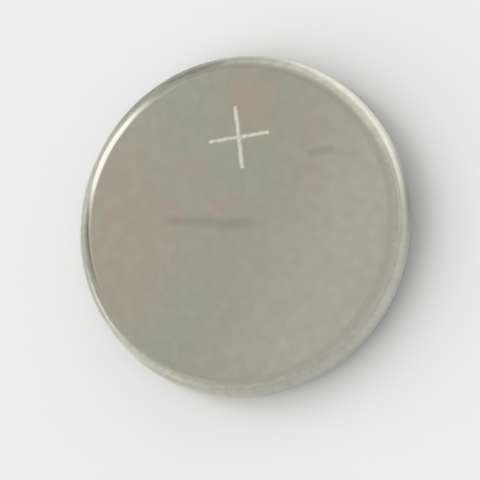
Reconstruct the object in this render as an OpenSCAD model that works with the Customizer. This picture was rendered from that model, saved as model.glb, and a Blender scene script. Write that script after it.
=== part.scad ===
// Lithium coin cell, 16 mm across and 2 mm high, with its positive face up.
// All sizes are in millimetres. The origin is the centre of the negative contact face,
// which is the face that the cell lies on, and +Z points to the positive face.
// Every piece is round, so each one is a cross-section turned about the Z axis.

/* [Cell] */
// Diameter over the side wall
cell_d = 16; // [12:0.5:24]
// Height from contact face to contact face
cell_h = 2; // [1.8:0.1:3.2]

/* [Positive can] */
// Thickness of the can's steel sheet
can_t = 0.2; // [0.15:0.01:0.25]
// Outer radius of the shoulder around the positive face
shoulder_r = 0.75; // [0.5:0.05:0.85]
// Outer radius of the edge that is crimped over the gasket
crimp_r = 0.85; // [0.75:0.05:0.95]
// Angle through which that edge is bent inwards, in degrees
crimp_angle = 80; // [65:1:88]
// Height of the crimped edge above the negative contact face
crimp_rise = 0.12; // [0.05:0.01:0.2]

/* [Negative cap] */
// Thickness of the cap's steel sheet
cap_t = 0.2; // [0.15:0.01:0.25]
// Outer radius around the negative contact face
contact_edge_r = 0.3; // [0.26:0.01:0.35]
// Radius in the corner between the raised disc and the ledge
root_r = 0.1; // [0.05:0.01:0.13]
// Width of the flat part of the ledge
ledge_w = 0.1; // [0.05:0.01:0.3]
// Outer radius of the bend from the ledge into the skirt
step_r = 0.3; // [0.26:0.01:0.4]
// Length of the skirt's edge that is folded back
hem_l = 0.5; // [0.3:0.05:0.6]
// Slit between the skirt and its folded edge
hem_slit = 0.04; // [0.02:0.01:0.08]

/* [Gasket] */
// Thickness between the side wall and the folded skirt
gasket_wall_t = 0.3; // [0.25:0.01:0.35]
// Thickness between the can's face and the fold
gasket_base_t = 0.25; // [0.15:0.01:0.35]
// Thickness of the nip between the crimped edge and the ledge
gasket_nip_t = 0.19; // [0.15:0.01:0.25]
// Thickness of the wall inside the skirt
gasket_inner_t = 0.2; // [0.15:0.01:0.3]
// Height of the wall inside the skirt
gasket_inner_h = 0.8; // [0.4:0.05:0.9]
// How far the gasket swells out below the inside of the crimped edge
gasket_swell = 0.06; // [0.02:0.01:0.1]
// Gap between the gasket's visible end and the raised disc
gasket_end_gap = 0.05; // [0.02:0.01:0.08]
// Radius on the edge of that end
gasket_end_edge_r = 0.08; // [0.02:0.01:0.1]

/* [Cell contents] */
// Thickness of the lithium disc
lithium_t = 0.42; // [0.3:0.01:0.5]
// Gap between the lithium disc's rim and the cap
lithium_gap = 1; // [0.4:0.1:2]
// Thickness of the separator
separator_t = 0.15; // [0.1:0.01:0.2]
// Gap between the separator's rim and the cap
separator_gap = 0.1; // [0.05:0.01:0.2]
// Height of the separator's turned-up rim
separator_rim_h = 0.6; // [0.4:0.05:0.8]
// Thickness of the collector ring's steel sheet
ring_t = 0.1; // [0.06:0.01:0.15]
// Gap between the collector ring and the separator's rim
ring_gap = 0.3; // [0.1:0.05:0.5]
// Height of the collector ring's wall
ring_h = 0.7; // [0.4:0.05:0.8]
// Width of the collector ring's flange
ring_flange_w = 0.9; // [0.5:0.1:2]
// Inner radius of the bends in the collector ring and the separator
soft_bend_r = 0.08; // [0.05:0.01:0.12]

/* [Hidden] */
$fn = 128;

// Positive can, from its outside inwards
can_r = cell_d / 2;
can_in_r = can_r - can_t;
can_floor_z = cell_h - can_t;
shoulder_at = [can_r - shoulder_r, cell_h - shoulder_r];
crimp_at = [can_r - crimp_r, micron(crimp_rise + crimp_r * sin(crimp_angle))];

// Negative cap, from its folded rim inwards
hem_r = can_in_r - gasket_wall_t;
skirt_r = hem_r - cap_t - hem_slit;
skirt_mid_r = skirt_r - cap_t / 2;
skirt_in_r = skirt_r - cap_t;
fold_r = cap_t + hem_slit / 2;
fold_at = [skirt_r + hem_slit / 2, can_floor_z - gasket_base_t - fold_r];
hem_end_z = fold_at[1] - hem_l;
ledge_z = micron(crimp_rise + can_t * sin(crimp_angle) + gasket_nip_t);
step_at = [skirt_r - step_r, ledge_z + step_r];
root_at = [step_at[0] - ledge_w, ledge_z - root_r];
disc_r = root_at[0] - root_r;
disc_in_r = disc_r - cap_t;
contact_edge_at = [disc_r - contact_edge_r, contact_edge_r];

// Gasket
gasket_in_r = skirt_in_r - gasket_inner_t;
gasket_inner_z = can_floor_z - gasket_inner_h;
gasket_end_r = disc_r + gasket_end_gap;
gasket_end_z = ledge_z - gasket_nip_t - gasket_swell;
gasket_end_at = [gasket_end_r + gasket_end_edge_r, gasket_end_z + gasket_end_edge_r];

// Contents, stacked from the cap up to the can
lithium_r = disc_in_r - lithium_gap;
separator_z = cap_t + lithium_t;
separator_r = disc_in_r - separator_gap;
pellet_z = separator_z + separator_t;
ring_r = separator_r - separator_t - ring_gap;
ring_in_r = ring_r - ring_t;
ring_hole_r = ring_r - ring_flange_w;

// Sizes that come from an angle are kept to the micron, so that neighbouring pieces meet exactly.
function micron(size) = round(size * 1000) / 1000;

// A point at an angle and a distance from the origin
function polar(angle, distance) = [distance * cos(angle), distance * sin(angle)];

// A rectangle between two opposite corners
module span(low, high) {
    translate(low) square(high - low);
}

// The part of a filled circle between two angles that are at most 180 degrees apart
module sector(at, r, from, to) {
    reach = 2 * r;
    translate(at) intersection() {
        circle(r);
        polygon(concat([[0, 0]], [for (share = [0 : 0.25 : 1]) polar(from + share * (to - from), reach)]));
    }
}

// A bend in sheet of thickness t, whose outer radius is r
module bend(at, r, t, from, to) {
    difference() {
        sector(at, r, from, to);
        translate(at) circle(r - t);
    }
}

// Cross-section of the can's sheet: face, shoulder, side wall and crimped edge
module can_section() {
    span([0, can_floor_z], [shoulder_at[0], cell_h]);
    bend(shoulder_at, shoulder_r, can_t, 0, 90);
    span([can_in_r, crimp_at[1]], [can_r, shoulder_at[1]]);
    bend(crimp_at, crimp_r, can_t, -crimp_angle, 0);
}

// Cross-section of the room inside the can, as far as the edge of the crimp
module can_room() {
    span([0, 0], [crimp_at[0], crimp_at[1]]);
    span([0, crimp_at[1]], [can_in_r, shoulder_at[1]]);
    span([0, shoulder_at[1]], [shoulder_at[0], can_floor_z]);
    sector(shoulder_at, shoulder_r - can_t, 0, 90);
    sector(crimp_at, crimp_r - can_t, -90, 0);
    sector(crimp_at, crimp_r, -90, -crimp_angle);
}

// Cross-section of the cap's sheet: contact face, raised disc, ledge, skirt and folded edge
module cap_section() {
    span([0, 0], [contact_edge_at[0], cap_t]);
    bend(contact_edge_at, contact_edge_r, cap_t, -90, 0);
    span([disc_in_r, contact_edge_at[1]], [disc_r, root_at[1]]);
    bend(root_at, root_r + cap_t, cap_t, 90, 180);
    span([root_at[0], ledge_z], [step_at[0], ledge_z + cap_t]);
    bend(step_at, step_r, cap_t, -90, 0);
    span([skirt_in_r, step_at[1]], [skirt_r, fold_at[1]]);
    bend(fold_at, fold_r, cap_t, 0, 180);
    span([skirt_r + hem_slit, hem_end_z], [hem_r, fold_at[1]]);
}

// Cross-section of the gasket: what is left between the can and the cap once they are crimped
module gasket_section() {
    difference() {
        intersection() {
            can_room();
            union() {
                span([gasket_in_r, gasket_inner_z], [can_r, can_floor_z]);
                span([gasket_end_r, gasket_end_at[1]], [can_r, gasket_inner_z]);
                sector(gasket_end_at, gasket_end_edge_r, 180, 270);
                span([gasket_end_at[0], gasket_end_z], [can_r, gasket_end_at[1]]);
            }
        }
        cap_section();
        // The slit in the hem stays empty
        translate(fold_at) circle(fold_r - cap_t / 2);
        span([skirt_mid_r, hem_end_z], [hem_r - cap_t / 2, fold_at[1]]);
        // So does the inside of the cap, below the gasket's inner wall
        span([0, ledge_z + cap_t / 2], [skirt_mid_r, gasket_inner_z]);
    }
}

// Cross-section of an L-shaped ring or dish: a flat part, a bend and a wall that points up
module dish_section(hole_r, rim_r, rim_h, t) {
    bend_at = [rim_r - t - soft_bend_r, t + soft_bend_r];
    span([hole_r, 0], [bend_at[0], t]);
    bend(bend_at, t + soft_bend_r, t, -90, 0);
    span([rim_r - t, bend_at[1]], [rim_r, rim_h]);
}

// Stainless steel cup, crimped shut: the positive contact
module positive_can() {
    color([0.63, 0.62, 0.56]) rotate_extrude() can_section();
}

// Polypropylene seal, which keeps the two metal shells apart
module gasket() {
    color([0.86, 0.86, 0.82]) rotate_extrude() gasket_section();
}

// Stainless steel cap with a folded rim: the negative contact
module negative_cap() {
    color([0.7, 0.7, 0.68]) rotate_extrude() cap_section();
}

// Punched disc of lithium metal, pressed onto the inside of the cap
module lithium_disc() {
    color([0.78, 0.78, 0.8]) translate([0, 0, cap_t]) cylinder(r = lithium_r, h = lithium_t);
}

// Dish of porous fabric between the lithium and the cathode
module separator() {
    color([0.95, 0.95, 0.93])
        translate([0, 0, separator_z]) rotate_extrude() dish_section(0, separator_r, separator_rim_h, separator_t);
}

// Pressed pellet of manganese dioxide and carbon, which fills the ring and touches the can
module cathode_pellet() {
    color([0.12, 0.12, 0.12]) rotate_extrude() {
        span([0, pellet_z], [ring_in_r, can_floor_z - ring_t - soft_bend_r]);
        span([0, can_floor_z - ring_t - soft_bend_r], [ring_in_r - soft_bend_r, can_floor_z - ring_t]);
        sector([ring_in_r - soft_bend_r, can_floor_z - ring_t - soft_bend_r], soft_bend_r, 0, 90);
        span([0, can_floor_z - ring_t], [ring_hole_r, can_floor_z]);
    }
}

// L-shaped steel ring that holds the pellet and carries its current into the can
module collector_ring() {
    color([0.6, 0.6, 0.6])
        translate([0, 0, can_floor_z]) mirror([0, 0, 1]) rotate_extrude()
            dish_section(ring_hole_r, ring_r, ring_h, ring_t);
}

positive_can();
gasket();
negative_cap();
lithium_disc();
separator();
cathode_pellet();
collector_ring();
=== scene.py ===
# %% [markdown]
# # Lithium coin cell
# A flat round cell of nickel-plated steel, 16 mm across and 2 mm high, lying on its negative cap.
# The solids come from CAD as a fixed frame. This script dresses them: it makes finer meshes for the
# three pieces that show, gives every piece a finish, and sets up camera, tent, lamp and floor.

# %% Load the frame
import math
import bmesh
import bpy
from mathutils import Matrix, Vector, noise
from mathutils.geometry import delaunay_2d_cdt


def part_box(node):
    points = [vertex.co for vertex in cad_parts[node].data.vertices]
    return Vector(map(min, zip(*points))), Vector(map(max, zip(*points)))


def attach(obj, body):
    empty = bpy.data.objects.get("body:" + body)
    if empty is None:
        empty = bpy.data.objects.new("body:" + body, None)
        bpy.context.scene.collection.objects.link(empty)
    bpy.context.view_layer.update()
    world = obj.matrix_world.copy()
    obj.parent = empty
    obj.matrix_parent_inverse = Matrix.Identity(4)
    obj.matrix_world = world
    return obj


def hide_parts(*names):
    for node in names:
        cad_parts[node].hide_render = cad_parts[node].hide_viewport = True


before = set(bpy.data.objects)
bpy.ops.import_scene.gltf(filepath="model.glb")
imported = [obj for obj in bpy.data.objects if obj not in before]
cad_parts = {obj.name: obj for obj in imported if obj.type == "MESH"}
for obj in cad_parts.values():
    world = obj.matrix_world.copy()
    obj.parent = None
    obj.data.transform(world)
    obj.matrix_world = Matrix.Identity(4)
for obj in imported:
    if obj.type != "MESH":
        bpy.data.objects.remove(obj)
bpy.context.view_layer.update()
scene = bpy.context.scene
ROOT = "root"
MM = 0.001


def in_mm(length):
    """A length in millimetres, rounded to a micron."""
    return round(length / MM, 3)


# %% [markdown]
# ## Sizes
# On the real cell every size hangs on the can's diameter and on the two sheet thicknesses.
# They could be typed in again here, but then they could drift away from the solids.
# So the script measures them on the boxes round the solids.

# %% Measure the solids
def true_radius(length):
    """The solids are made of short chords, so a measured radius is a few microns short."""
    return round(length / MM, 2) * MM


can_low, can_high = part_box("positive_can")
gasket_low, gasket_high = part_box("gasket")
cap_low, cap_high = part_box("negative_cap")
can_r = true_radius(can_high.x)
can_in_r = true_radius(gasket_high.x)
hem_r = true_radius(cap_high.x)
face_z = can_high.z
can_floor_z = gasket_high.z
can_t = face_z - can_floor_z
cap_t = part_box("lithium_disc")[0].z
lip_z = can_low.z
fold_top_z = cap_high.z
gasket_end_z = gasket_low.z
print("can radius", in_mm(can_r), "sheet", in_mm(can_t), "cap sheet", in_mm(cap_t))

# %% [markdown]
# A box doesn't tell how the sheet is bent, so the bends are named here. The can has a shoulder
# between face and wall, and a crimp that curls its edge in over the seal. The cap turns up at the
# edge of its contact disc, runs out along a ledge, steps up into a skirt, and is folded back on
# itself to a hem. The seal is nipped between the crimp and the ledge. Centres of arcs are (r, z).

# %% Name the bends
SHOULDER_R = 0.75 * MM
CRIMP_R = 0.85 * MM
CRIMP_ANGLE = 80
CONTACT_EDGE_R = 0.3 * MM
ROOT_R = 0.1 * MM
LEDGE_W = 0.1 * MM
STEP_R = 0.3 * MM
HEM_L = 0.5 * MM
HEM_SLIT = 0.04 * MM
GASKET_NIP_T = 0.19 * MM
GASKET_INNER_T = 0.2 * MM
GASKET_INNER_H = 0.8 * MM
GASKET_END_GAP = 0.05 * MM
GASKET_END_EDGE_R = 0.08 * MM
SHEARED_EDGE_R = 0.03 * MM

shoulder_at = (can_r - SHOULDER_R, face_z - SHOULDER_R)
crimp_sine = math.sin(math.radians(CRIMP_ANGLE))
crimp_at = (can_r - CRIMP_R, lip_z + CRIMP_R * crimp_sine)
skirt_r = hem_r - cap_t - HEM_SLIT
skirt_in_r = skirt_r - cap_t
fold_r = cap_t + HEM_SLIT / 2
fold_at = (skirt_r + HEM_SLIT / 2, fold_top_z - fold_r)
hem_end_z = fold_at[1] - HEM_L
ledge_z = lip_z + can_t * crimp_sine + GASKET_NIP_T
step_at = (skirt_r - STEP_R, ledge_z + STEP_R)
root_at = (step_at[0] - LEDGE_W, ledge_z - ROOT_R)
disc_r = root_at[0] - ROOT_R
contact_edge_at = (disc_r - CONTACT_EDGE_R, CONTACT_EDGE_R)
gasket_end_r = disc_r + GASKET_END_GAP
print("contact disc", in_mm(2 * disc_r), "mm across, ledge", in_mm(ledge_z), "mm up")

# %% [markdown]
# ## Camera
# The photograph looks down on the face with a long lens, about 20 degrees off the cell's axis.
# A camera can be placed by hand and nudged until it fits. But the tilt, the side that is nearer and
# the scale were fitted to the outline in the photograph, so the camera is worked out from those
# values. Places in the photograph are in pixels of its 480 by 480 frame. Angles in it start at the
# right and run anticlockwise.

# %% Camera values
PHOTO_SIZE = 480
TILT = math.radians(20)
NEAR_SIDE_IN_PHOTO = math.radians(335)
NEAR_SIDE_ON_CELL = math.radians(-33.15)
PIXELS_PER_MM = 21.56
FACE_CENTRE_PX = (238.4, 223.4)
CAMERA_DISTANCE = 0.36


def unit(azimuth, from_vertical):
    """The direction at an azimuth on the cell and an angle from its axis."""
    flat = math.sin(from_vertical)
    return Vector((flat * math.cos(azimuth), flat * math.sin(azimuth), math.cos(from_vertical)))


to_camera = unit(NEAR_SIDE_ON_CELL, TILT)
near_in_view = unit(NEAR_SIDE_ON_CELL, math.pi / 2 + TILT)
across_in_view = to_camera.cross(near_in_view)
cosine, sine = math.cos(NEAR_SIDE_IN_PHOTO), math.sin(NEAR_SIDE_IN_PHOTO)
view_right = cosine * near_in_view - sine * across_in_view
view_up = sine * near_in_view + cosine * across_in_view
print("the camera looks from azimuth", round(math.degrees(NEAR_SIDE_ON_CELL), 2))

# %% Camera
pixel = MM / PIXELS_PER_MM
middle = PHOTO_SIZE / 2
aim = Vector((0, 0, face_z))
aim += (middle - FACE_CENTRE_PX[0]) * pixel * view_right
aim += (FACE_CENTRE_PX[1] - middle) * pixel * view_up

camera_data = bpy.data.cameras.new("camera")
camera_data.lens = camera_data.sensor_width * CAMERA_DISTANCE / (PHOTO_SIZE * pixel)
camera_data.clip_start = 0.01
camera_data.clip_end = 5
camera = bpy.data.objects.new("camera", camera_data)
scene.collection.objects.link(camera)
camera.location = aim + CAMERA_DISTANCE * to_camera
camera.rotation_mode = "QUATERNION"
camera.rotation_quaternion = Matrix((view_right, view_up, to_camera)).transposed().to_quaternion()
scene.camera = camera
print("lens", round(camera_data.lens), "mm")

# %% [markdown]
# ## Shader helpers
# A finish is a small network of nodes. Placing each node by hand is slow to read, so these helpers
# place one node and feed it, either with a plain value or from another node's output.

# %% Helpers that feed nodes
def feed(tree, socket, value):
    """Links a socket to an output, or sets it to a plain value."""
    if isinstance(value, bpy.types.NodeSocket):
        tree.links.new(value, socket)
    else:
        socket.default_value = value


def feed_all(tree, node, values):
    """Feeds the inputs of a node that the values name."""
    for name, value in values.items():
        feed(tree, node.inputs[name], value)


def number(tree, operation, *values, clamp=False):
    """A Math node."""
    node = tree.nodes.new("ShaderNodeMath")
    node.operation = operation
    node.use_clamp = clamp
    feed_all(tree, node, dict(enumerate(values)))
    return node.outputs[0]


def vector(tree, operation, *values):
    """A Vector Math node."""
    node = tree.nodes.new("ShaderNodeVectorMath")
    node.operation = operation
    feed_all(tree, node, dict(enumerate(values)))
    return node.outputs["Value" if operation == "LENGTH" else "Vector"]


# %% Helpers for places
def split(tree, where):
    """The outputs X, Y and Z of a Separate XYZ node."""
    node = tree.nodes.new("ShaderNodeSeparateXYZ")
    feed(tree, node.inputs[0], where)
    return node.outputs


def joined(tree, x, y, z=0.0):
    """A Combine XYZ node."""
    node = tree.nodes.new("ShaderNodeCombineXYZ")
    feed_all(tree, node, {"X": x, "Y": y, "Z": z})
    return node.outputs[0]


def turned(tree, where, angle):
    """The same place, turned about the cell's axis."""
    node = tree.nodes.new("ShaderNodeVectorRotate")
    node.rotation_type = "Z_AXIS"
    feed_all(tree, node, {"Vector": where, "Angle": angle})
    return node.outputs[0]


# %% Helpers for masks and colours
def ease(tree, value, low, high, first=0.0, last=1.0):
    """A soft step: first where the value is below low, last where it is above high."""
    node = tree.nodes.new("ShaderNodeMapRange")
    node.interpolation_type = "SMOOTHSTEP"
    ends = {"From Min": low, "From Max": high, "To Min": first, "To Max": last}
    feed_all(tree, node, {"Value": value, **ends})
    return node.outputs["Result"]


def fade(tree, value, low, high):
    """Is 1 where the value is below low, and falls to 0 where it is above high."""
    return ease(tree, value, low, high, 1.0, 0.0)


def cloud(tree, where, scale, detail=2.0, rough=0.5):
    """A Noise Texture, from 0 to 1 and mostly near 0.5."""
    node = tree.nodes.new("ShaderNodeTexNoise")
    feed_all(tree, node, {"Vector": where, "Scale": scale, "Detail": detail, "Roughness": rough})
    return node.outputs["Fac"]


def tint(tree, share, first, second):
    """A Mix node for colours. Its inputs 6 and 7 are the two colours, and its output 2 the mix."""
    node = tree.nodes.new("ShaderNodeMix")
    node.data_type = "RGBA"
    feed_all(tree, node, {"Factor": share, 6: first, 7: second})
    return node.outputs[2]


# %% Helpers for node groups
def new_group(name, inputs, outputs):
    """An empty node group. Place and Centre are vectors, and all its other sockets are numbers."""
    group = bpy.data.node_groups.new(name, "ShaderNodeTree")
    for socket_name in inputs:
        kind = "NodeSocketVector" if socket_name in ("Place", "Centre") else "NodeSocketFloat"
        group.interface.new_socket(socket_name, in_out="INPUT", socket_type=kind)
    for socket_name in outputs:
        group.interface.new_socket(socket_name, in_out="OUTPUT", socket_type="NodeSocketFloat")
    given = group.nodes.new("NodeGroupInput").outputs
    print("made", name)
    return group, given, group.nodes.new("NodeGroupOutput").inputs


def use(tree, group, **values):
    """Places a group with its own values. An underscore stands for a space in a socket's name."""
    node = tree.nodes.new("ShaderNodeGroup")
    node.node_tree = group
    for name, value in values.items():
        feed(tree, node.inputs[name.replace("_", " ").capitalize()], value)
    return node.outputs


print("node helpers are ready")

# %% [markdown]
# ## Tent
# The picture has a pale ground with one soft shadow to the right, a bright crescent on the shoulder
# at the upper left and a paler band at the upper right. Lamps could be hung for each, but a
# photographer would use a tent of white paper, with windows in it. The world is that tent. Its
# windows are soft ovals, some brighter and some darker than the paper. Each stands for something in
# the real room that the shoulder mirrors.
# The Light Path node tells the rays apart. Metal sees the tent at full strength. Paper and plastic
# see it dimmer, because the lamp lights them too. Only for mirrored rays, the tent is dark straight
# below, and the bright window is a little blue, as daylight is. The camera sees neither, but the
# ground's own grey.

# %% Helpers for the tent
scene.view_settings.view_transform = "Standard"
GROUND = (0.84, 0.84, 0.84, 1)


def photo_to_cell(angle):
    """The azimuth on the cell of a direction that is seen in the photograph, in degrees."""
    return math.radians(angle) - NEAR_SIDE_IN_PHOTO + NEAR_SIDE_ON_CELL


def window(tree, place, in_photo, across, from_vertical, upright, level, clear=0.3):
    """A soft oval in the tent. Its middle and half sizes are in degrees, and clear is its even share."""
    parts = split(tree, turned(tree, place, -photo_to_cell(in_photo)))
    sideways = number(tree, "ARCTAN2", parts["Y"], parts["X"])
    height = number(tree, "ARCCOSINE", parts["Z"])
    height = number(tree, "SUBTRACT", height, math.radians(from_vertical))
    sideways = number(tree, "DIVIDE", sideways, math.radians(across))
    height = number(tree, "DIVIDE", height, math.radians(upright))
    from_middle = vector(tree, "LENGTH", joined(tree, sideways, height))
    return ease(tree, from_middle, clear, 1.0, level, 0.0)


def mirrored_ray(tree, light_path):
    """Is 1 for the rays by which metal and glass see a thing."""
    rays = light_path.outputs
    return number(tree, "MAXIMUM", rays["Is Glossy Ray"], rays["Is Transmission Ray"])


print("ground grey", GROUND[0])

# %% [markdown]
# Each window is a row of five or six values: its middle in the photograph's angles, its half width,
# its middle from straight up, its half height, how much brighter it is than the tent, and the
# share of it that is even before it fades. They were set by comparing the shoulder's tones in
# photograph and render, all the way round.

# %% Windows
TENT_FOR_METAL = 1.0
TENT_FOR_PAPER = 0.59
ALL_ROUND = 10000
DARK_BELOW = (0, ALL_ROUND, 180, 75, -0.5, 0.1)
BRIGHT_WINDOW = (153.5, 11.5, 47.5, 27, 2.25, 0.7)
DAYLIGHT_BLUE = (0.0, 0.0, 0.17)
OTHER_WINDOWS = (
    # The crescent's upper end, and the glow below and beside the bright window
    (142.5, 6, 55, 20, 1.15),
    (149, 9, 76, 20, 0.2),
    (166, 9, 84, 34, 0.25),
    (160, 24, 78, 16, 0.3),
    (178, 24, 36, 24, 0.18),
    # The dark edges at both sides of the crescent
    (170, 10.8, 42, 14.4, -0.74),
    (123, 12, 88, 35, -0.42, 0.45),
    # The paler band at the upper right, and the darker strip where it ends
    (77, 49, 67.5, 44, 0.37),
    (103, 22, 38, 18, 0.12),
    (24, 32, 50, 14, -0.13, 0.4),
    # The pale left and lower left, with one darker strip
    (194, 14, 82, 17, 0.6),
    (188, 13, 80, 18, 0.2),
    (218, 34, 62, 48, 0.38),
    (230, 13, 56, 22, -0.2),
    # The near side, which is a little darker
    (306, 102, 86, 38, -0.18),
    (325, 62, 42, 24, -0.1),
    (283, 18, 48, 15, -0.1),
)
print("the tent has one bright window and", len(OTHER_WINDOWS), "weaker ones")

# %% World
world = bpy.data.worlds.new("paper_tent")
scene.world = world
world.use_nodes = True
tree = world.node_tree
tree.nodes.clear()
light_path = tree.nodes.new("ShaderNodeLightPath")
where = tree.nodes.new("ShaderNodeTexCoord").outputs["Generated"]
mirrored = mirrored_ray(tree, light_path)
level = number(tree, "MULTIPLY_ADD", mirrored, TENT_FOR_METAL - TENT_FOR_PAPER, TENT_FOR_PAPER)
level = number(tree, "MULTIPLY_ADD", mirrored, window(tree, where, *DARK_BELOW), level)
daylight = window(tree, where, *BRIGHT_WINDOW)
level = number(tree, "ADD", level, daylight)
for values in OTHER_WINDOWS:
    level = number(tree, "ADD", level, window(tree, where, *values))
blue = vector(tree, "MULTIPLY", number(tree, "MULTIPLY", mirrored, daylight), DAYLIGHT_BLUE)

lit = tree.nodes.new("ShaderNodeBackground")
backdrop = tree.nodes.new("ShaderNodeBackground")
by_ray = tree.nodes.new("ShaderNodeMixShader")
world_out = tree.nodes.new("ShaderNodeOutputWorld")
feed(tree, lit.inputs["Color"], vector(tree, "ADD", level, blue))
feed(tree, backdrop.inputs["Color"], GROUND)
seen = light_path.outputs["Is Camera Ray"]
feed_all(tree, by_ray, {"Fac": seen, 1: lit.outputs[0], 2: backdrop.outputs[0]})
feed(tree, world_out.inputs["Surface"], by_ray.outputs[0])
print("the tent's network has", len(tree.nodes), "nodes")

# %% [markdown]
# The shadow in the picture falls to the right and is very soft, so the lamp stands at the left and is
# wide. An area lamp would do, but its light would be uneven across the floor. A sun lamp is even, and
# its angle sets how soft the shadow is. Metal doesn't mirror it, or the face would show it as a disc.

# %% Lamp
LAMP_IN_PHOTO = 190
LAMP_FROM_VERTICAL = 48
LAMP_WIDTH = 84
LAMP_STRENGTH = 1.4
lamp_data = bpy.data.lights.new("soft_lamp", "SUN")
lamp_data.energy = LAMP_STRENGTH
lamp_data.angle = math.radians(LAMP_WIDTH)
lamp = bpy.data.objects.new("soft_lamp", lamp_data)
scene.collection.objects.link(lamp)
lamp.visible_glossy = False
lamp.rotation_mode = "QUATERNION"
towards_lamp = unit(photo_to_cell(LAMP_IN_PHOTO), math.radians(LAMP_FROM_VERTICAL))
lamp.rotation_quaternion = towards_lamp.to_track_quat("Z", "Y")
print("lamp", 90 - LAMP_FROM_VERTICAL, "degrees up")

# %% [markdown]
# ## Floor
# The floor is a sheet of paper. For the camera it is plain diffuse paper that takes the shadow. Metal
# would mirror that paper too dark, so for mirrored rays it glows. It glows less close to the cell,
# where real paper lies in the cell's own shade, and on the side of the cast shadow. Like the tent,
# it has sectors that are a little brighter or darker. Under the cell it lets every ray but the
# camera's through, and from below it is clear, so that the underside is lit and can be looked at.

# %% Glow of the floor
FLOOR_FOR_METAL = 1.0
OPEN_R = 0.88 * can_r
SHADE_R = 1.17 * can_r
DEEPEST_SHADE = 0.36
CAST_SHADOW = (40, 60, -0.5)
CAST_FULL_TO_R = 1.02 * can_r
CAST_ENDS_R = 1.35 * can_r
FLOOR_SECTORS = ((49, 44, 0.75), (163, 27, 0.12), (124, 30, -0.3), (217, 18, 0.2), (291, 42, -0.15))
ACROSS_ONLY = (1.0, 1.0, 0.0)
floor_material = bpy.data.materials.new("floor_paper")
floor_material.use_nodes = True
tree = floor_material.node_tree
tree.nodes.clear()
on_paper = tree.nodes.new("ShaderNodeTexCoord").outputs["Object"]
on_paper = vector(tree, "MULTIPLY", on_paper, ACROSS_ONLY)
from_axis = vector(tree, "LENGTH", on_paper)


def sector(in_photo, across, level):
    """A sector of the floor is a window whose place is flat, 90 degrees from straight up."""
    return window(tree, on_paper, in_photo, across, 90, 90, level)


level = FLOOR_FOR_METAL
for values in FLOOR_SECTORS:
    level = number(tree, "ADD", level, sector(*values))
cast = fade(tree, from_axis, CAST_FULL_TO_R, CAST_ENDS_R)
level = number(tree, "MULTIPLY_ADD", cast, sector(*CAST_SHADOW), level)
level = number(tree, "MULTIPLY", level, ease(tree, from_axis, OPEN_R, SHADE_R, DEEPEST_SHADE, 1.0))
print("the floor's glow has", len(FLOOR_SECTORS), "sectors and a cast shadow")

# %% Floor finish
OPEN_SOFT = 0.1 * MM
light_path = tree.nodes.new("ShaderNodeLightPath")
geometry = tree.nodes.new("ShaderNodeNewGeometry")
mirrored = mirrored_ray(tree, light_path)
open_to = number(tree, "MULTIPLY_ADD", mirrored, OPEN_R - can_r, can_r)
under_cell = fade(tree, number(tree, "SUBTRACT", from_axis, open_to), -OPEN_SOFT, 0.0)
not_camera = number(tree, "SUBTRACT", 1.0, light_path.outputs["Is Camera Ray"])
see_through = number(tree, "MULTIPLY", under_cell, not_camera)
see_through = number(tree, "MAXIMUM", see_through, geometry.outputs["Backfacing"])

paper = tree.nodes.new("ShaderNodeBsdfDiffuse")
glow = tree.nodes.new("ShaderNodeEmission")
clear_paper = tree.nodes.new("ShaderNodeBsdfTransparent")
by_ray = tree.nodes.new("ShaderNodeMixShader")
by_side = tree.nodes.new("ShaderNodeMixShader")
floor_out = tree.nodes.new("ShaderNodeOutputMaterial")
feed(tree, paper.inputs["Color"], GROUND)
feed(tree, glow.inputs["Color"], level)
feed_all(tree, by_ray, {"Fac": mirrored, 1: paper.outputs[0], 2: glow.outputs[0]})
feed_all(tree, by_side, {"Fac": see_through, 1: by_ray.outputs[0], 2: clear_paper.outputs[0]})
feed(tree, floor_out.inputs["Surface"], by_side.outputs[0])
print("made", floor_material.name)

# %% Floor sheet
FLOOR_GAP = 0.03 * MM
FLOOR_SIZE = 3.0
half = FLOOR_SIZE / 2
corners = ((-1, -1), (1, -1), (1, 1), (-1, 1))
floor_mesh = bpy.data.meshes.new("floor")
floor_mesh.from_pydata([(x * half, y * half, -FLOOR_GAP) for x, y in corners], [], [(0, 1, 2, 3)])
floor_mesh.materials.append(floor_material)
floor = bpy.data.objects.new("floor", floor_mesh)
scene.collection.objects.link(floor)
print("floor", FLOOR_SIZE, "m wide")

# %% [markdown]
# ## Turned sections
# Can, gasket and cap are all round, so each is a cross-section turned about the cell's axis.
# A Screw modifier would do it, but a short function that lays the rings gives full control over
# the middle of the face, where the plus sign is cut in.

# %% Helpers for sections
def on_arc(centre, radius, angle):
    """The point (r, z) of an arc at an angle in degrees."""
    turn = math.radians(angle)
    return (centre[0] + radius * math.cos(turn), centre[1] + radius * math.sin(turn))


def arc(centre, radius, start, end, steps=14):
    """Points (r, z) along an arc, from one angle in degrees to another."""
    return [on_arc(centre, radius, start + (end - start) * step / steps) for step in range(steps + 1)]


def tidy(points, nearest=0.0005 * MM):
    """The same line without points that lie on top of each other."""
    kept = []
    for point in points:
        if not kept or math.dist(point, kept[-1]) > nearest:
            kept.append(point)
    return kept


# %% Helpers for turned meshes
SEGMENTS = 384
ON_AXIS = 1e-9


def add_ring(mesh, r, z):
    """One ring of vertices about the axis, or a single one where the radius is zero."""
    if r < ON_AXIS:
        return [mesh.verts.new((0, 0, z))]
    turns = (math.tau * index / SEGMENTS for index in range(SEGMENTS))
    return [mesh.verts.new((r * math.cos(turn), r * math.sin(turn), z)) for turn in turns]


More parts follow.
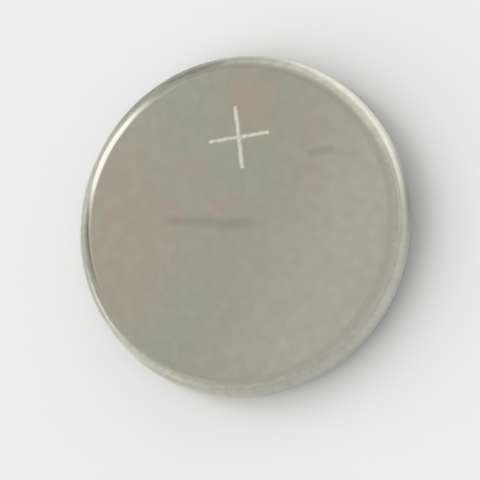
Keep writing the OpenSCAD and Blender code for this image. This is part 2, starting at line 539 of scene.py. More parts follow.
def join_rings(mesh, first, second):
    """A band of faces between two rings, or a fan where one of them is a single vertex."""
    for index in range(SEGMENTS):
        after = (index + 1) % SEGMENTS
        if len(first) == 1:
            mesh.faces.new((first[0], second[index], second[after]))
        elif len(second) == 1:
            mesh.faces.new((first[index], second[0], first[after]))
        else:
            mesh.faces.new((first[index], second[index], second[after], first[after]))


def turn_section(mesh, points, closed=False):
    """Turns a line of points about the axis, and returns its rings."""
    rings = [add_ring(mesh, r, z) for r, z in points]
    for first, second in zip(rings, rings[1:]):
        join_rings(mesh, first, second)
    if closed:
        join_rings(mesh, rings[-1], rings[0])
    return rings


print("each ring has", SEGMENTS, "segments")

# %% [markdown]
# Each finer mesh takes the place of one solid of the frame: it hides that solid and rides on the
# root body. Bends are shaded smooth, and real corners stay sharp.

# %% Helper for finished pieces
SMOOTH_UNDER = math.radians(35)


def finish_piece(mesh, name, material, node):
    """Makes an object of the mesh, hides its CAD node, and puts the object on the root body."""
    bmesh.ops.recalc_face_normals(mesh, faces=mesh.faces)
    data = bpy.data.meshes.new(name)
    mesh.to_mesh(data)
    mesh.free()
    data.materials.append(material)
    data.shade_smooth()
    data.set_sharp_from_angle(angle=SMOOTH_UNDER)
    piece = bpy.data.objects.new(name, data)
    scene.collection.objects.link(piece)
    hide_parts(node)
    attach(piece, ROOT)
    print(name, len(data.polygons), "faces")


print("edges sharper than", round(math.degrees(SMOOTH_UNDER)), "degrees stay sharp")

# %% [markdown]
# ## Shared effects
# Bare sheet metal is never one even tone. It has slow patches of tarnish, a fine grain from the
# rollers, hairlines from handling, and rubbed edges. Each effect is one node group, built once, and
# each material places it with its own sizes. All sizes are in millimetres. A patch begins where
# a slow noise passes its start value, and is full where it passes its end value.

# %% Patches of tarnish
soft_patches, given, out = new_group("soft_patches", ["Place", "Size", "Start", "End"], ["Mask"])
tree = soft_patches
spread = cloud(tree, given["Place"], number(tree, "DIVIDE", 1.0, given["Size"]), 3.0)
feed(tree, out["Mask"], ease(tree, spread, given["Start"], given["End"]))

# %% [markdown]
# The face has two darker smears, where something was wiped across it, and spots of rosy tarnish.
# A painted picture of them would need an image. A long soft shape, turned and broken up by noise,
# needs only a few numbers. The group gives it in two forms: Mask is a smear with firm ends, and Spot
# is an oval of the same size that fades from its middle.

# %% Smears and spots
smear_inputs = ["Place", "Centre", "Angle", "Length", "Width"]
soft_smear, given, out = new_group("soft_smear", smear_inputs, ["Mask", "Spot"])
tree = soft_smear
half_length = number(tree, "MULTIPLY", given["Length"], 0.5)
half_width = number(tree, "MULTIPLY", given["Width"], 0.5)
local = vector(tree, "SUBTRACT", given["Place"], given["Centre"])
parts = split(tree, turned(tree, local, number(tree, "MULTIPLY", given["Angle"], -1.0)))
waver = number(tree, "SUBTRACT", cloud(tree, given["Place"], 0.9), 0.5)
off = number(tree, "MULTIPLY_ADD", waver, half_width, parts["Y"])
along = number(tree, "DIVIDE", number(tree, "ABSOLUTE", parts["X"]), half_length)
across = number(tree, "DIVIDE", number(tree, "ABSOLUTE", off), half_width)
breaks = cloud(tree, given["Place"], 2.2)

streak = number(tree, "MULTIPLY", fade(tree, along, 0.6, 1.0), fade(tree, across, 0.15, 1.15))
streak = number(tree, "MULTIPLY", streak, ease(tree, breaks, 0.2, 0.6, 0.85, 1.0))
feed(tree, out["Mask"], streak)
spot = fade(tree, vector(tree, "LENGTH", joined(tree, along, across)), 0.2, 1.1)
spot = number(tree, "MULTIPLY", spot, ease(tree, breaks, 0.2, 0.6, 0.55, 1.0))
feed(tree, out["Spot"], spot)

# %% [markdown]
# Rolled and plated sheet has a grain of fine pits. Where the can is drawn over its wall, the pits are
# pulled into upright lines. Shrinking the noise's height coordinate gives both from one texture.

# %% Sheet grain
sheet_grain, given, out = new_group("sheet_grain", ["Place", "Size", "Draw"], ["Height", "Shade"])
tree = sheet_grain
pulled = vector(tree, "MULTIPLY", given["Place"], joined(tree, 1.0, 1.0, given["Draw"]))
per_mm = number(tree, "DIVIDE", 1.0, given["Size"])
fine = cloud(tree, pulled, per_mm, 2.0, 0.6)
coarse = cloud(tree, pulled, number(tree, "MULTIPLY", per_mm, 0.23), 3.0)
height = number(tree, "MULTIPLY_ADD", fine, 0.6, number(tree, "MULTIPLY", coarse, 0.4))
shade = number(tree, "MULTIPLY_ADD", fine, 0.35, number(tree, "MULTIPLY", coarse, 0.65))
feed(tree, out["Height"], height)
feed(tree, out["Shade"], ease(tree, shade, 0.32, 0.68))

# %% [markdown]
# Handling leaves hairlines, long and thin and mostly along one direction. Lines could be drawn one
# by one. But a stretched noise has long contours, and where it is near its middle value it makes such
# lines. A second, slow noise keeps them to some regions: the higher its start value, the fewer.

# %% Hairlines
hairlines, given, out = new_group("hairlines", ["Place", "Angle", "Spacing", "Start"], ["Mask"])
tree = hairlines
line_place = turned(tree, given["Place"], given["Angle"])
line_place = vector(tree, "MULTIPLY", line_place, (0.035, 1.0, 0.3))
bend = vector(tree, "MULTIPLY", given["Place"], (0.12, 0.12, 0.12))
line_place = vector(tree, "ADD", line_place, bend)
lines = cloud(tree, line_place, number(tree, "DIVIDE", 1.0, given["Spacing"]), 1.0, 0.4)
ridge = number(tree, "ABSOLUTE", number(tree, "SUBTRACT", lines, 0.5))
thin = fade(tree, ridge, 0.0, 0.008)
regions = cloud(tree, given["Place"], 0.45)
here = ease(tree, regions, given["Start"], number(tree, "ADD", given["Start"], 0.12))
feed(tree, out["Mask"], number(tree, "MULTIPLY", thin, here))

# %% [markdown]
# Every edge on this cell is a circle about its axis. So rubbed edges, and the painted shade in a
# corner, are all rings of some radius and width, broken up by noise.

# %% Ring of wear and painted shade
ring_wear_and_shade, given, out = new_group("ring_wear_and_shade", ["Place", "Radius", "Width", "Break up"], ["Mask"])
tree = ring_wear_and_shade
radius = vector(tree, "LENGTH", vector(tree, "MULTIPLY", given["Place"], ACROSS_ONLY))
wander = number(tree, "SUBTRACT", cloud(tree, given["Place"], 1.7, 3.0, 0.6), 0.5)
radius = number(tree, "MULTIPLY_ADD", wander, given["Width"], radius)
apart = number(tree, "ABSOLUTE", number(tree, "SUBTRACT", radius, given["Radius"]))
band = fade(tree, number(tree, "DIVIDE", apart, given["Width"]), 0.0, 1.0)
gaps = ease(tree, cloud(tree, given["Place"], 3.1, 3.0, 0.6), 0.35, 0.65)
kept = number(tree, "SUBTRACT", 1.0, number(tree, "MULTIPLY", given["Break up"], gaps))
feed(tree, out["Mask"], number(tree, "MULTIPLY", band, kept, clamp=True))

# %% [markdown]
# Every finish starts alike: one Principled shader, whose values vary with the place on the cell.
# The object's own coordinates are used, so that the finish stays on the piece when it moves.

# %% Helpers for materials
def new_material(name, metallic):
    """A material with one Principled shader, and the place on the cell in millimetres."""
    material = bpy.data.materials.new(name)
    material.use_nodes = True
    tree = material.node_tree
    shader = tree.nodes["Principled BSDF"]
    shader.inputs["Metallic"].default_value = metallic
    where = tree.nodes.new("ShaderNodeTexCoord").outputs["Object"]
    print("made", name)
    return material, tree, shader, vector(tree, "MULTIPLY", where, (1 / MM, 1 / MM, 1 / MM))


def surface(tree, shader, colour, rough, height, depth):
    """Feeds the shader its colour, its roughness and a bump whose depth is in millimetres."""
    node = tree.nodes.new("ShaderNodeBump")
    node.inputs["Strength"].default_value = 1.0
    node.inputs["Distance"].default_value = depth * MM
    feed(tree, node.inputs["Height"], height)
    normal = node.outputs["Normal"]
    feed_all(tree, shader, {"Base Color": colour, "Roughness": rough, "Normal": normal})


# %% [markdown]
# ## The can's finish
# The positive can is nickel-plated steel that has dulled to a warm olive grey, with slow pinkish
# patches at the left and top. Towards the lower right it is painted paler, a painted sheen. A flat
# grey metal would look like a drawing. The colours here are mixed by the patches, the grain moves
# them a little, and the two smears darken them. The etched sign is paler and rougher than the metal
# around it.

# %% Can tarnish and painted sheen
OLIVE = (0.296, 0.291, 0.234, 1)
MOSSY = (0.288, 0.294, 0.233, 1)
# The paler tone is a painted sheen, which makes the face lighter towards the lower right.
PAINTED_SHEEN = (0.348, 0.344, 0.284, 1)
ROSY = (0.327, 0.272, 0.218, 1)
ROSY_AREAS = ((-5.45, 0.3, 11.6, 5.2), (-5.3, 3.2, 3.6, 2.8), (-3.4, 0.6, 2.6, 2.2), (1.4, 5.4, 4.6, 3.9))
ROSY_ANGLE = 82
ROSY_SPOTS = ((-0.69, 0.99, 0.6), (-2.0, 3.1, 0.45), (3.98, 3.9, 0.35), (3.56, 1.6, 0.35))
SPOT_SIZE = (2.0, 1.7)
FACE_MM = in_mm(face_z)
BEND_SHOWS_BELOW = 0.0035
can_finish, tree, shader, place = new_material("nickel_plated_steel", 1.0)


def on_face(x, y, length, width, angle=0):
    """A smear and a spot on the can's face, with sizes in millimetres and the angle in degrees."""
    shape = {"centre": (x, y, FACE_MM), "angle": math.radians(angle), "length": length, "width": width}
    return use(tree, soft_smear, place=place, **shape)


parts = split(tree, place)
patches = use(tree, soft_patches, place=place, size=1.3, start=0.36, end=0.62)["Mask"]
rosy = 0.0
for x, y, length, width in ROSY_AREAS:
    rosy = number(tree, "MAXIMUM", rosy, on_face(x, y, length, width, ROSY_ANGLE)["Spot"])
rosy = number(tree, "MULTIPLY", rosy, number(tree, "MULTIPLY_ADD", patches, 0.45, 0.55))
for x, y, share in ROSY_SPOTS:
    spot = number(tree, "MULTIPLY", on_face(x, y, *SPOT_SIZE)["Spot"], share)
    rosy = number(tree, "MAXIMUM", rosy, spot)
curved = fade(tree, parts["Z"], FACE_MM - BEND_SHOWS_BELOW, FACE_MM)
rosy = number(tree, "MULTIPLY", rosy, number(tree, "MULTIPLY_ADD", curved, -0.8, 1.0))

green_patches = use(tree, soft_patches, place=place, size=3.2, start=0.42, end=0.6)["Mask"]
# Painted sheen: the face grows paler towards the lower right.
sheen_side = number(tree, "MULTIPLY_ADD", parts["X"], 0.85, number(tree, "MULTIPLY", parts["Y"], -0.5))
colour = tint(tree, green_patches, OLIVE, MOSSY)
colour = tint(tree, ease(tree, sheen_side, -0.4, 6.2), colour, PAINTED_SHEEN)
colour = tint(tree, rosy, colour, ROSY)
print("rosy tarnish in", len(ROSY_AREAS) + len(ROSY_SPOTS), "places")

# %% Can smears, scratches and rubbing
SMEARED = (0.235, 0.231, 0.183, 1)
BURNISHED = (0.45, 0.445, 0.385, 1)
RUBBED = (0.54, 0.53, 0.47, 1)
DRAWN_FROM_Z, DRAWN_FULL_Z = 1.955, 1.75
SHOULDER_RUB_R = in_mm(shoulder_at[0]) + 0.37
long_smear = on_face(-1.26, 0.235, 5.5, 0.66, -11)["Mask"]
short_smear = on_face(4.36, 2.69, 1.6, 0.52)["Mask"]
smears = number(tree, "MAXIMUM", long_smear, number(tree, "MULTIPLY", short_smear, 0.75))
colour = tint(tree, number(tree, "MULTIPLY", smears, 0.66), colour, SMEARED)
scratches = use(tree, hairlines, place=place, angle=0.5, spacing=0.8, start=0.5)["Mask"]
cross_scratches = use(tree, hairlines, place=place, angle=2.1, spacing=1.1, start=0.55)["Mask"]
all_scratches = number(tree, "MAXIMUM", scratches, cross_scratches)
colour = tint(tree, number(tree, "MULTIPLY", all_scratches, 0.05), colour, RUBBED)
grain = use(tree, sheet_grain, place=place, size=0.13, draw=0.06)
drawn = fade(tree, parts["Z"], DRAWN_FULL_Z, DRAWN_FROM_Z)
drawn = number(tree, "MULTIPLY", drawn, number(tree, "MULTIPLY_ADD", grain["Shade"], 0.3, 0.75))
colour = tint(tree, drawn, colour, BURNISHED)
rub = use(tree, ring_wear_and_shade, place=place, radius=SHOULDER_RUB_R, width=0.14, break_up=0.8)["Mask"]
colour = tint(tree, number(tree, "MULTIPLY", rub, 0.3), colour, RUBBED)
print("the shoulder is rubbed at", round(SHOULDER_RUB_R, 2), "mm from the axis")

# %% [markdown]
# The grain shades the colour a little. The mesh of the can carries an attribute that is 1 in the
# etched sign, and by it the sign gets its own colour. Roughness follows the same masks: the flat
# face is rougher than the drawn bends, and the sign is the roughest.

# %% Can shader
ETCHED = (0.575, 0.565, 0.462, 1)
etch = tree.nodes.new("ShaderNodeAttribute")
etch.attribute_name = "etch"
shaded = number(tree, "MULTIPLY_ADD", grain["Shade"], 0.06, 0.97)
shaded = number(tree, "MULTIPLY_ADD", curved, 0.035, shaded)
colour = vector(tree, "MULTIPLY", colour, shaded)
colour = tint(tree, etch.outputs["Fac"], colour, ETCHED)
rough = number(tree, "MULTIPLY_ADD", patches, 0.03, 0.2)
rough = number(tree, "MULTIPLY_ADD", grain["Shade"], 0.03, rough)
rough = number(tree, "MULTIPLY_ADD", curved, -0.09, rough)
rough = number(tree, "MULTIPLY_ADD", etch.outputs["Fac"], 0.3, rough)
surface(tree, shader, colour, rough, grain["Height"], 0.0002)

# %% [markdown]
# ## The can
# One cup of sheet, drawn and then crimped over the seal. Its section is turned about the axis,
# outside and inside, so that it is a closed shell with real sheet thickness. The sheared edge of
# the crimp gets a small radius, because no cut edge is perfectly sharp.

# %% Helpers for the sheared edge
def toward(start, end, distance):
    """The point at a distance from one point towards another."""
    share = distance / math.dist(start, end)
    return (start[0] + share * (end[0] - start[0]), start[1] + share * (end[1] - start[1]))


def rounded_corner(before, corner, after, size, steps=4):
    """Points along a curve that starts and ends at a distance from a corner and is drawn to it."""
    first = toward(corner, before, size)
    last = toward(corner, after, size)
    points = []
    for step in range(steps + 1):
        share = step / steps
        near, pull, far = (1 - share) ** 2, 2 * share * (1 - share), share**2
        r, z = (near * first[axis] + pull * corner[axis] + far * last[axis] for axis in (0, 1))
        points.append((r, z))
    return points


print("sheared edges are rounded by", in_mm(SHEARED_EDGE_R), "mm")

# %% Can section
NEAR_BEND = 0.05 * MM
NEAR_WALL_END = 0.1 * MM
face_r = shoulder_at[0]
lip_out = on_arc(crimp_at, CRIMP_R, -CRIMP_ANGLE)
lip_in = on_arc(crimp_at, CRIMP_R - can_t, -CRIMP_ANGLE)
outside = [(face_r - NEAR_BEND, face_z)]
outside += arc(shoulder_at, SHOULDER_R, 90, 0, 22)
outside += [(can_r, shoulder_at[1] - NEAR_WALL_END), (can_r, crimp_at[1] + NEAR_WALL_END)]
outside += arc(crimp_at, CRIMP_R, 0, -CRIMP_ANGLE + 2.5, 26)
inner_arc = arc(crimp_at, CRIMP_R - can_t, -CRIMP_ANGLE + 3, 0, 14)
edge = rounded_corner(outside[-1], lip_out, lip_in, SHEARED_EDGE_R)
edge += rounded_corner(lip_out, lip_in, inner_arc[0], SHEARED_EDGE_R)
inside = inner_arc + [(can_in_r, shoulder_at[1])]
inside += arc(shoulder_at, SHOULDER_R - can_t, 0, 90, 12)
inside += [(face_r - NEAR_BEND, can_floor_z), (0, can_floor_z)]
can_line = tidy(outside + edge + inside)
print("can section has", len(can_line), "points")

# %% [markdown]
# The plus sign is etched into the face, about a hundredth of a millimetre deep, and a little
# uneven. A bump map would be flat in a side light, so it is cut into the mesh: a fine grid fills the
# place of the sign, and its points are lowered along the two strokes. Both strokes waver in place
# and width, and the bottom is speckled.

# %% Strokes of the plus sign
SIGN_REACH = 1.47 * MM
STROKE_W = 0.165 * MM
STROKE_SOFT = 0.07 * MM
DRIFT = 0.022 * MM
DRIFTS_PER_MM = 0.9
WIDTH_WAVER = 0.07
WAVERS_PER_MM = 2.3
UPRIGHT_SEED = 1.7
LEVEL_SEED = 8.2


def uneven(x, y, lane):
    """Smooth noise between about -1 and 1. Each use of it has its own lane."""
    return noise.noise(Vector((x, y, lane)))


def stroke(along, across, seed):
    """How deep one stroke is here, from 0 to 1."""
    drift = DRIFT * uneven(DRIFTS_PER_MM * (along / MM), seed, 0.0)
    half_width = STROKE_W * (0.5 + WIDTH_WAVER * uneven(WAVERS_PER_MM * (along / MM), seed, 5.0))
    beyond = max(0.0, abs(along) - SIGN_REACH + half_width)
    distance = math.hypot(beyond, across - drift) - half_width
    share = min(max(0.5 - distance / (2 * STROKE_SOFT), 0.0), 1.0)
    return share * share * (3 - 2 * share)


def sign_depth(x, y):
    """How deep the sign is at a point, from 0 to 1."""
    return max(stroke(y, x, UPRIGHT_SEED), stroke(x, y, LEVEL_SEED))


print("the sign is", in_mm(2 * SIGN_REACH), "mm across")

# %% Cut the plus sign
SIGN_AT = (0.46 * MM, 4.04 * MM)
ETCH_DEPTH = 0.014 * MM
GRID_HALF = 1.66 * MM
GRID_CELLS = 176
SPECKLE = 0.3
SPECKLES_PER_MM = 14
BLOTCH = 0.5
BLOTCHES_PER_MM = 5
MEAN_ETCH = 0.82


def cut_sign(mesh):
    """Adds the fine grid with the sign cut in, and returns the grid's rim in order."""
    layer = mesh.verts.layers.float.new("etch")
    across = [GRID_HALF * (2 * index / GRID_CELLS - 1) for index in range(GRID_CELLS + 1)]
    rows = []
    for y in across:
        row = []
        for x in across:
            depth = sign_depth(x, y)
            speckle = 1 + SPECKLE * uneven(x / MM * SPECKLES_PER_MM, y / MM * SPECKLES_PER_MM, 3.0)
            blotch = BLOTCH * uneven(x / MM * BLOTCHES_PER_MM, y / MM * BLOTCHES_PER_MM, 9.0)
            cut = ETCH_DEPTH * depth * speckle
            point = mesh.verts.new((SIGN_AT[0] + x, SIGN_AT[1] + y, face_z - cut))
            point[layer] = depth * min(1.0, MEAN_ETCH + blotch)
            row.append(point)
        rows.append(row)
    for low, high in zip(rows, rows[1:]):
        for column in range(GRID_CELLS):
            mesh.faces.new((low[column], low[column + 1], high[column + 1], high[column]))
    right = [row[-1] for row in rows[:-1]]
    left = [row[0] for row in rows[:0:-1]]
    return rows[0][:-1] + right + rows[-1][:0:-1] + left


can_mesh = bmesh.new()
rim = cut_sign(can_mesh)
print("the rim of the sign's grid has", len(rim), "points")

# %% [markdown]
# Between the grid and the shoulder the face is flat, but it has to join both without a gap. A
# triangulation of the two outlines does that, and leaves the inside of the grid alone.

# %% Face around the sign
INSIDE_OUTLINES = 1
SAME_POINT_MM = 1e-6


def outline_edges(first, count):
    """The edges of a closed outline whose points are numbered from first."""
    return [(first + index, first + (index + 1) % count) for index in range(count)]


def fill_between(mesh, ring, rim):
    """Fills the flat face between the shoulder's first ring and the rim of the grid."""
    points = ring + rim
    flat = [Vector((point.co.x / MM, point.co.y / MM)) for point in points]
    edges = outline_edges(0, len(ring)) + outline_edges(len(ring), len(rim))
    result = delaunay_2d_cdt(flat, edges, [], INSIDE_OUTLINES, SAME_POINT_MM)
    made, triangles, origins = result[0], result[2], result[3]
    assert len(made) == len(points)
    for triangle in triangles:
        middle_x = sum(made[index].x for index in triangle) / 3 - SIGN_AT[0] / MM
        middle_y = sum(made[index].y for index in triangle) / 3 - SIGN_AT[1] / MM
        if max(abs(middle_x), abs(middle_y)) > GRID_HALF / MM:
            mesh.faces.new([points[origins[index][0]] for index in triangle])


can_rings = turn_section(can_mesh, can_line)
fill_between(can_mesh, can_rings[0], rim)
finish_piece(can_mesh, "can_shell", can_finish, "positive_can")

# %% [markdown]
# ## The seal
# The gasket is moulded polypropylene, milky and a little waxy. It shows only as a narrow ring
# on the underside. Both of its edges are darkened with painted shade: at the gap beside the contact
# disc, and under the can's lip.

# %% Seal finish
MILKY = (0.66, 0.66, 0.61, 1)
WAXY = (0.55, 0.54, 0.47, 1)
# The dark corner colour is painted shade. It is used on both edges of the seal and in the cap's corner
# beside it.
CORNER_SHADE = (0.22, 0.20, 0.16, 1)
INNER_SHADE_R = in_mm(gasket_end_r) + 0.02
LIP_SHADE_R = round(lip_in[0] / MM, 2)
seal_finish, tree, shader, place = new_material("milky_polypropylene", 0.0)
patches = use(tree, soft_patches, place=place, size=0.7, start=0.4, end=0.62)["Mask"]
grain = use(tree, sheet_grain, place=place, size=0.035, draw=1.0)
# Painted shade: darker rings along both edges of the seal.
inner_shade = use(tree, ring_wear_and_shade, place=place, radius=INNER_SHADE_R, width=0.06, break_up=0.6)["Mask"]
lip_shade = use(tree, ring_wear_and_shade, place=place, radius=LIP_SHADE_R, width=0.05, break_up=0.5)["Mask"]
corner_shade = number(tree, "MULTIPLY", number(tree, "MAXIMUM", inner_shade, lip_shade), 0.6)
colour = tint(tree, corner_shade, tint(tree, patches, MILKY, WAXY), CORNER_SHADE)
rough = number(tree, "MULTIPLY_ADD", grain["Shade"], 0.12, 0.42)
surface(tree, shader, colour, rough, grain["Height"], 0.0008)

# %% [markdown]
# Little of the gasket shows, but it fills the whole space between the two shells, so it gets its full
# section. It reuses the arcs of the can's inside and of the cap's outside, so that they can't part.

# %% Seal section
along_lip = (crimp_at[1] - gasket_end_z) / crimp_sine
end_corner = (on_arc(crimp_at, along_lip, -CRIMP_ANGLE)[0], gasket_end_z)
end_at = (gasket_end_r + GASKET_END_EDGE_R, gasket_end_z + GASKET_END_EDGE_R)
meet_angle = math.degrees(math.acos((gasket_end_r - root_at[0]) / ROOT_R))
inner_r = skirt_in_r - GASKET_INNER_T
inner_z = can_floor_z - GASKET_INNER_H
seal_line = [(inner_r, inner_z), (inner_r, can_floor_z)]
seal_line += arc(shoulder_at, SHOULDER_R - can_t, 90, 0, 12)
seal_line += arc(crimp_at, CRIMP_R - can_t, 0, -CRIMP_ANGLE, 16) + [end_corner]
seal_line += arc(end_at, GASKET_END_EDGE_R, 270, 180, 8)
seal_line += arc(root_at, ROOT_R, meet_angle, 90, 4)
seal_line += arc(step_at, STEP_R, -90, 0, 10)
seal_line += [(skirt_r, hem_end_z), (skirt_r + HEM_SLIT, hem_end_z), (hem_r, hem_end_z)]
seal_line += arc(fold_at, fold_r, 0, 180, 16)
seal_line += [(skirt_in_r, inner_z)]
seal_mesh = bmesh.new()
turn_section(seal_mesh, tidy(seal_line), closed=True)
finish_piece(seal_mesh, "seal_ring", seal_finish, "gasket")

# %% [markdown]
# ## The cap
# The negative cap is bare stainless steel, brighter than the can: a satin face that rests on the
# floor, a rounded edge, a narrow ledge and a folded skirt inside the seal. It has fine turning marks
# round its middle. Rings could be cut into the mesh, but they are far too fine for that. A noise that
# changes fast along the radius and slowly round the axis gives them as a bump.

# %% Turning marks
turning_marks, given, out = new_group("turning_marks", ["Place", "Spacing"], ["Height"])
tree = turning_marks
flat_place = vector(tree, "MULTIPLY", given["Place"], ACROSS_ONLY)
per_mm = number(tree, "DIVIDE", 1.0, given["Spacing"])
outward = number(tree, "MULTIPLY", vector(tree, "LENGTH", flat_place), per_mm)
drift = vector(tree, "MULTIPLY", flat_place, (0.35, 0.35, 0.0))
marks_at = vector(tree, "ADD", joined(tree, outward, 0.0), drift)
feed(tree, out["Height"], cloud(tree, marks_at, 1.0, 3.0, 0.65))

# %% [markdown]
# The contact face is rubbed bright along its edge and scratched by the holder's spring. The corner
# beside the seal is darkened with painted shade. The marks also stretch every highlight across
# themselves, which is what the shader's anisotropy is for.

# %% Cap colour
STEEL = (0.48, 0.47, 0.43, 1)
DULL_STEEL = (0.45, 0.437, 0.395, 1)
BRIGHT_STEEL = (0.62, 0.61, 0.57, 1)
EDGE_RUB_R = in_mm(contact_edge_at[0]) + 0.05
cap_finish, tree, shader, place = new_material("satin_stainless_steel", 1.0)
patches = use(tree, soft_patches, place=place, size=2.2, start=0.4, end=0.62)["Mask"]
grain = use(tree, sheet_grain, place=place, size=0.07, draw=0.06)
edge_rub = use(tree, ring_wear_and_shade, place=place, radius=EDGE_RUB_R, width=0.18, break_up=0.6)["Mask"]
# Painted shade: a dark ring in the corner beside the seal.
corner_shade = use(tree, ring_wear_and_shade, place=place, radius=in_mm(gasket_end_r), width=0.05, break_up=0.4)["Mask"]
scratches = use(tree, hairlines, place=place, angle=1.2, spacing=0.7, start=0.44)["Mask"]
cross_scratches = use(tree, hairlines, place=place, angle=2.6, spacing=0.9, start=0.5)["Mask"]
all_scratches = number(tree, "MAXIMUM", scratches, cross_scratches)
colour = tint(tree, patches, STEEL, DULL_STEEL)
colour = tint(tree, number(tree, "MULTIPLY", edge_rub, 0.6), colour, BRIGHT_STEEL)
colour = tint(tree, number(tree, "MULTIPLY", all_scratches, 0.3), colour, BRIGHT_STEEL)
colour = tint(tree, number(tree, "MULTIPLY", corner_shade, 0.7), colour, CORNER_SHADE)
colour = vector(tree, "MULTIPLY", colour, number(tree, "MULTIPLY_ADD", grain["Shade"], 0.05, 0.975))
print("the contact face is rubbed at", round(EDGE_RUB_R, 2), "mm from the axis")

# %% Cap surface
rough = number(tree, "MULTIPLY_ADD", patches, 0.05, 0.3)
rough = number(tree, "MULTIPLY_ADD", grain["Shade"], 0.04, rough)
rough = number(tree, "MULTIPLY_ADD", edge_rub, -0.1, rough)
round_axis = tree.nodes.new("ShaderNodeTangent")
round_axis.direction_type = "RADIAL"
round_axis.axis = "Z"
feed(tree, shader.inputs["Tangent"], round_axis.outputs[0])
shader.inputs["Anisotropic"].default_value = 0.75
marks = use(tree, turning_marks, place=place, spacing=0.09)["Height"]
height = number(tree, "MULTIPLY_ADD", marks, 1.5, grain["Height"])
height = number(tree, "MULTIPLY_ADD", all_scratches, -0.3, height)
surface(tree, shader, colour, rough, height, 0.0011)

# %% [markdown]
# The cap's section follows the outside of the sheet from the axis to the hem, round the fold and back
# along the inside. Both sides use the same centres, so the sheet keeps its thickness round each bend.

# %% Cap section
FAN_R = 3 * MM
FLAT_R = 6 * MM
cap_line = [(0, 0), (FAN_R, 0), (FLAT_R, 0), (contact_edge_at[0] - NEAR_BEND, 0)]
cap_line += arc(contact_edge_at, CONTACT_EDGE_R, -90, 0, 14)
cap_line += arc(root_at, ROOT_R, 180, 90, 8)
cap_line += arc(step_at, STEP_R, -90, 0, 12)
cap_line += arc(fold_at, HEM_SLIT / 2, 180, 0, 6)
cap_line += [(skirt_r + HEM_SLIT, hem_end_z), (hem_r, hem_end_z)]
cap_line += arc(fold_at, fold_r, 0, 180, 16)
cap_line += arc(step_at, STEP_R - cap_t, 0, -90, 8)
cap_line += arc(root_at, ROOT_R + cap_t, 90, 180, 12)
cap_line += arc(contact_edge_at, CONTACT_EDGE_R - cap_t, 0, -90, 8)
cap_line += [(FAN_R, cap_t), (0, cap_t)]
cap_mesh = bmesh.new()
turn_section(cap_mesh, tidy(cap_line))
finish_piece(cap_mesh, "cap_shell", cap_finish, "negative_cap")

# %% [markdown]
# ## What is inside
# Four pieces lie inside the sealed cell: lithium, separator, cathode pellet and collector ring.
# Their CAD solids already have the right shape, so they stay, and only get their own finish.
# They show when the cell is opened up or cut for a drawing. Lithium is a soft silvery foil with
# marks from the rollers, and it tarnishes within minutes.

# %% Lithium
SILVERY = (0.58, 0.58, 0.60, 1)
TARNISHED = (0.30, 0.29, 0.30, 1)
lithium_finish, tree, shader, place = new_material("rolled_lithium", 1.0)
patches = use(tree, soft_patches, place=place, size=1.4, start=0.42, end=0.66)["Mask"]
roll_marks = use(tree, hairlines, place=place, angle=0.0, spacing=0.35, start=0.1)["Mask"]
grain = use(tree, sheet_grain, place=place, size=0.12, draw=1.0)
colour = tint(tree, number(tree, "MULTIPLY", patches, 0.7), SILVERY, TARNISHED)
colour = tint(tree, number(tree, "MULTIPLY", roll_marks, 0.3), colour, TARNISHED)
rough = number(tree, "MULTIPLY_ADD", grain["Shade"], 0.15, 0.38)
height = number(tree, "MULTIPLY_ADD", roll_marks, -0.5, grain["Height"])
surface(tree, shader, colour, rough, height, 0.003)

# %% [markdown]
# The separator is a felt of melt-blown fibres. Long thin noise in three directions, laid over each
# other, reads as crossing fibres. Modelling the fibres one by one would take millions of faces.

# %% Felt
felt_fibres, given, out = new_group("felt_fibres", ["Place", "Size"], ["Height"])
tree = felt_fibres
per_mm = number(tree, "DIVIDE", 1.0, given["Size"])
felt = 0.0
for turn in (0.3, 1.35, 2.4):
    stretched = vector(tree, "MULTIPLY", turned(tree, given["Place"], turn), (0.08, 1.0, 1.0))
    strand = number(tree, "SUBTRACT", cloud(tree, stretched, per_mm), 0.5)
    layer = fade(tree, number(tree, "ABSOLUTE", strand), 0.0, 0.09)
    felt = number(tree, "MAXIMUM", felt, layer)
feed(tree, out["Height"], felt)

# %% Separator
FELT = (0.50, 0.49, 0.45, 1)
FIBRE = (0.74, 0.73, 0.70, 1)
SOAKED = (0.45, 0.43, 0.38, 1)
separator_finish, tree, shader, place = new_material("wet_felt", 0.0)
fibres = use(tree, felt_fibres, place=place, size=0.06)["Height"]
patches = use(tree, soft_patches, place=place, size=1.1, start=0.4, end=0.65)["Mask"]
colour = tint(tree, fibres, FELT, FIBRE)
colour = tint(tree, number(tree, "MULTIPLY", patches, 0.3), colour, SOAKED)
surface(tree, shader, colour, number(tree, "MULTIPLY_ADD", patches, -0.2, 0.7), fibres, 0.01)

# %% [markdown]
# The pellet is pressed from manganese dioxide and carbon powder. It is nearly black, with
# grains that stand out a little, which a cell texture gives more crisply than a noise does.

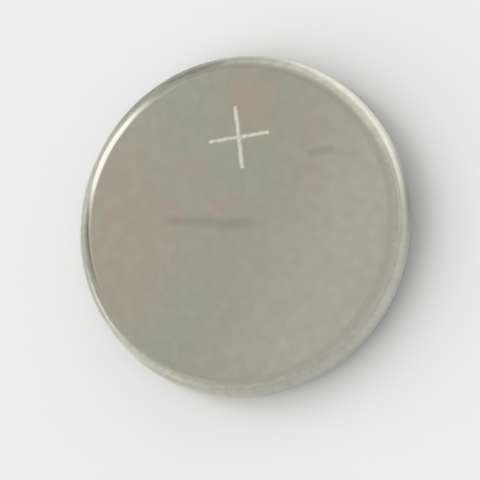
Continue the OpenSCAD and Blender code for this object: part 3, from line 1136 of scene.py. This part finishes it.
# %% Pellet
CARBON = (0.018, 0.017, 0.016, 1)
MANGANESE = (0.055, 0.05, 0.045, 1)
pressed_grains, given, out = new_group("pressed_grains", ["Place", "Size"], ["Height", "Shade"])
tree = pressed_grains
grain_cells = tree.nodes.new("ShaderNodeTexVoronoi")
per_mm = number(tree, "DIVIDE", 1.0, given["Size"])
feed_all(tree, grain_cells, {"Vector": given["Place"], "Scale": per_mm})
grain_tone = tree.nodes.new("ShaderNodeSeparateColor")
feed(tree, grain_tone.inputs[0], grain_cells.outputs["Color"])
feed(tree, out["Height"], number(tree, "SUBTRACT", 1.0, grain_cells.outputs["Distance"]))
feed(tree, out["Shade"], grain_tone.outputs["Red"])

pellet_finish, tree, shader, place = new_material("pressed_manganese", 0.0)
grains = use(tree, pressed_grains, place=place, size=0.08)
colour = tint(tree, grains["Shade"], CARBON, MANGANESE)
rough = number(tree, "MULTIPLY_ADD", grains["Shade"], 0.25, 0.6)
surface(tree, shader, colour, rough, grains["Height"], 0.012)

# %% [markdown]
# The collector ring is a thin strip of bright steel sheet, rolled to a ring round the pellet. It is
# scratched by the pressing, and dull where powder has rubbed off on it.

# %% Collector ring
RING_STEEL = (0.50, 0.49, 0.47, 1)
POWDERED = (0.38, 0.37, 0.34, 1)
ring_finish, tree, shader, place = new_material("thin_ring_steel", 1.0)
grain = use(tree, sheet_grain, place=place, size=0.06, draw=0.06)
ring_scratches = use(tree, hairlines, place=place, angle=0.9, spacing=0.5, start=0.35)["Mask"]
patches = use(tree, soft_patches, place=place, size=1.0, start=0.42, end=0.62)["Mask"]
colour = tint(tree, patches, RING_STEEL, POWDERED)
colour = tint(tree, number(tree, "MULTIPLY", ring_scratches, 0.4), colour, BRIGHT_STEEL)
rough = number(tree, "MULTIPLY_ADD", grain["Shade"], 0.1, 0.3)
surface(tree, shader, colour, rough, grain["Height"], 0.001)

# %% Put the finishes on the solids that stay
inner_finishes = {
    "lithium_disc": lithium_finish,
    "separator": separator_finish,
    "cathode_pellet": pellet_finish,
    "collector_ring": ring_finish,
}
for node_name, finish in inner_finishes.items():
    for material_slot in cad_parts[node_name].material_slots:
        material_slot.material = finish
    print(node_name, "gets", finish.name)

# %% [markdown]
# ## Size
# The dressed cell has to keep the size of its solids. The last cell only brings the scene up to date.

# %% Bring the scene up to date
bpy.context.view_layer.update()
